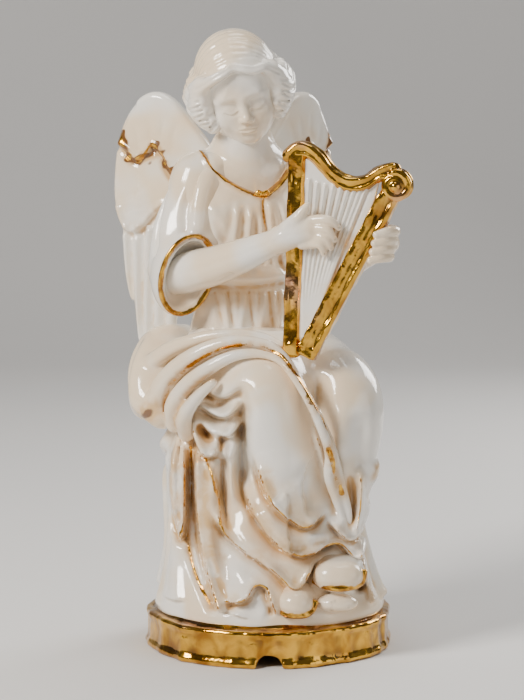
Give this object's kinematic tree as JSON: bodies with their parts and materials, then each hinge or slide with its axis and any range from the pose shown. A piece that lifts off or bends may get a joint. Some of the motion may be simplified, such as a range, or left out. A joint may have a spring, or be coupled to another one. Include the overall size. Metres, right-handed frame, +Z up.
{
  "type": "angel figurine",
  "caption": "Free-standing figurine of a seated angel in a draped robe playing a small harp, cast in glazed white pieces with gilt trim on a round gilt plinth.",
  "frame": {"origin": "centre of the plinth's foot ring, on the surface it stands on", "axes": "+Z up; -Y is the figure's front; +X is the side on which the harp stands"},
  "size_m": [0.1467, 0.1341, 0.303],
  "materials": {
    "robe_glaze": "glossy clear glaze",
    "skin_glaze": "glossy clear glaze",
    "hair_glaze": "glossy clear glaze",
    "wing_glaze": "glossy clear glaze",
    "string_glaze": "glossy clear glaze",
    "gold_lustre": "fired gold lustre, mirror bright with wear"
  },
  "bodies": {
    "root": {"plinth": "gold_lustre", "skirt": "robe_glaze", "mantle": "robe_glaze", "torso": "robe_glaze", "right_sleeve": "robe_glaze", "left_sleeve": "robe_glaze", "head": "skin_glaze", "right_forearm": "skin_glaze", "left_forearm": "skin_glaze", "right_foot": "skin_glaze", "left_foot": "skin_glaze", "right_wing": "wing_glaze", "left_wing": "wing_glaze", "harp_pillar": "gold_lustre", "harp_neck": "gold_lustre", "harp_soundbox": "gold_lustre", "harp_string_web": "string_glaze"}
  },
  "joints": []
}
